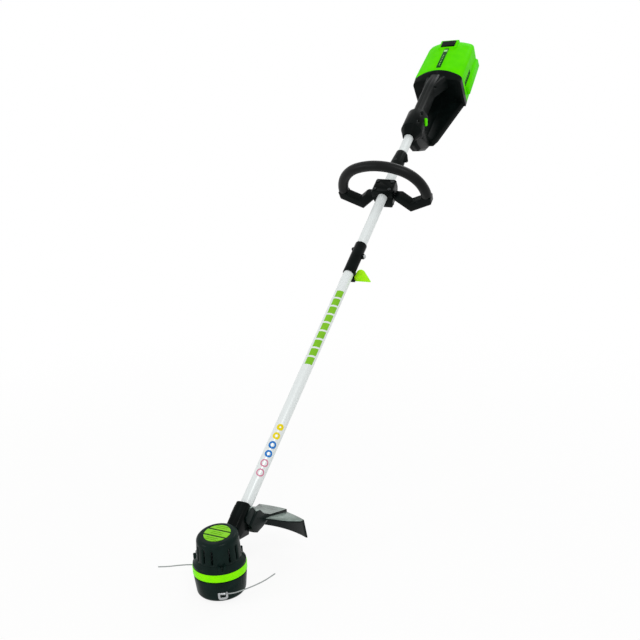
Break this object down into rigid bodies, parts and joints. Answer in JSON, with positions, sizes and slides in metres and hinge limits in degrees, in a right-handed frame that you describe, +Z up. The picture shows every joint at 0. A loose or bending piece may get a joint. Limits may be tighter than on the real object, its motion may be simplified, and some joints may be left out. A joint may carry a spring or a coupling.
{
  "type": "cordless string trimmer",
  "caption": "Cordless string trimmer with a bump-feed line head, guard, two-piece shaft, loop handle, strap hanger and a rear handle that carries a slide-in battery.",
  "frame": {"origin": "centre of the bump knob's flat face, where the cutting head rests on the ground", "axes": "+Z up along the head's spin axis, +Y along the ground under the rising shaft, +X to the user's right when facing along the shaft's rise"},
  "size_m": [0.2797, 1.5232, 1.0736],
  "materials": {
    "green_shell": "satin, fine grain",
    "lime_trim": "satin",
    "vent_lime": "satin",
    "wing_lime": "satin, bare nylon",
    "black_shell": "fine grained",
    "black_gloss": "smooth",
    "dark_grey_plastic": "satin",
    "guard_plastic": "fine grained",
    "soft_grip": "matt",
    "tube_silver": "satin anodised",
    "line_grey": "satin nylon",
    "steel": "zinc plated",
    "dark_steel": "blackened",
    "copper_winding": "enamelled copper wire",
    "magnet_steel": "laminated",
    "cable_black": "matt",
    "board_green": "circuit board",
    "label_dark": "printed film, bare"
  },
  "bodies": {
    "tool": {"battery_housing": "green_shell", "cable_grommets": "soft_grip", "cable_plug": "black_shell", "cap_screws": "steel", "clamp_bolt": "steel", "controller_board": "board_green", "coupler_sleeve": "black_shell", "cutter_screws": "steel", "guard": "guard_plastic", "guard_screws": "steel", "handle_left": "black_shell", "handle_right": "black_shell", "handle_screws": "dark_steel", "hanger_screw": "dark_steel", "label_plate": "label_dark", "line_cutter": "dark_steel", "lower_cable": "cable_black", "lower_tube": "tube_silver", "micro_switch": "black_gloss", "motor_base": "black_shell", "motor_bearings": "steel", "motor_bracket": "dark_grey_plastic", "motor_cap": "black_shell", "neck_left": "black_shell", "neck_right": "black_shell", "neck_screws": "dark_steel", "side_vents": "black_shell", "sleeve_screw": "dark_steel", "stator_core": "magnet_steel", "stator_windings": "copper_winding", "strap_hanger": "black_shell", "terminal_block": "black_gloss", "trigger_pin": "steel", "trigger_spring": "steel", "trim_ring": "lime_trim", "upper_cable": "cable_black", "upper_tube": "tube_silver", "vent_insert": "vent_lime"},
    "spinner": {"spool_housing": "black_gloss", "line_eyelets": "steel", "spool_retainer": "black_gloss", "motor_shaft": "steel", "motor_rotor": "magnet_steel", "drive_nut": "steel", "bump_spring": "steel", "line_a": "line_grey", "line_b": "line_grey"},
    "spool": {"line_spool": "black_shell", "wound_line": "line_grey"},
    "knob": {"bump_knob": "black_gloss"},
    "wing_knob": {"coupler_knob": "wing_lime"},
    "pin": {"lock_pin": "steel"},
    "loop": {"loop_frame": "black_shell", "loop_clamp": "black_shell", "loop_bolts": "dark_steel", "loop_grip": "soft_grip"},
    "trigger_lever": {"trigger": "black_gloss"},
    "lock": {"lock_button": "green_shell"},
    "battery": {"battery_pack": "black_shell"},
    "latch": {"battery_latch": "black_shell"}
  },
  "joints": [
    {"name": "head_spin", "type": "hinge", "parent": "tool", "child": "spinner", "pos_m": [0, 0, 0], "axis": [0, 0, 1], "continuous": true},
    {"name": "spool_feed", "type": "hinge", "parent": "spinner", "child": "spool", "pos_m": [0, 0, 0], "axis": [0, 0, 1], "continuous": true},
    {"name": "knob_bump", "type": "slide", "parent": "spinner", "child": "knob", "axis": [0, 0, 1], "range_m": [0, 0.005], "stiffness_N_per_m": 4000, "springref_m": -0.015, "deforming": ["bump_spring"]},
    {"name": "wing_knob_turn", "type": "hinge", "parent": "tool", "child": "wing_knob", "pos_m": [0, 0.64744, 0.49795], "axis": [1, 0, 0], "continuous": true},
    {"name": "lock_pin_press", "type": "slide", "parent": "tool", "child": "pin", "axis": [-1, 0, 0], "range_m": [0, 0.003], "stiffness_N_per_m": 1500, "springref_m": -0.002},
    {"name": "loop_slide", "type": "slide", "parent": "tool", "child": "loop", "axis": [0, 0.8141, 0.5807], "range_m": [-0.1, 0.06]},
    {"name": "trigger_pull", "type": "hinge", "parent": "tool", "child": "trigger_lever", "pos_m": [0, 1.1408, 0.85845], "axis": [1, 0, 0], "range_deg": [0, 10], "stiffness_Nm_per_rad": 0.8, "springref_deg": -20.05},
    {"name": "lock_press", "type": "slide", "parent": "tool", "child": "lock", "axis": [-1, 0, 0], "range_m": [0, 0.0035], "stiffness_N_per_m": 1000, "springref_m": -0.002},
    {"name": "battery_slide", "type": "slide", "parent": "tool", "child": "battery", "axis": [0, 0.8141, 0.5807], "range_m": [0, 0.142]},
    {"name": "latch_press", "type": "slide", "parent": "tool", "child": "latch", "axis": [0, 0.5807, -0.8141], "range_m": [0, 0.003], "stiffness_N_per_m": 1500, "springref_m": -0.002}
  ]
}
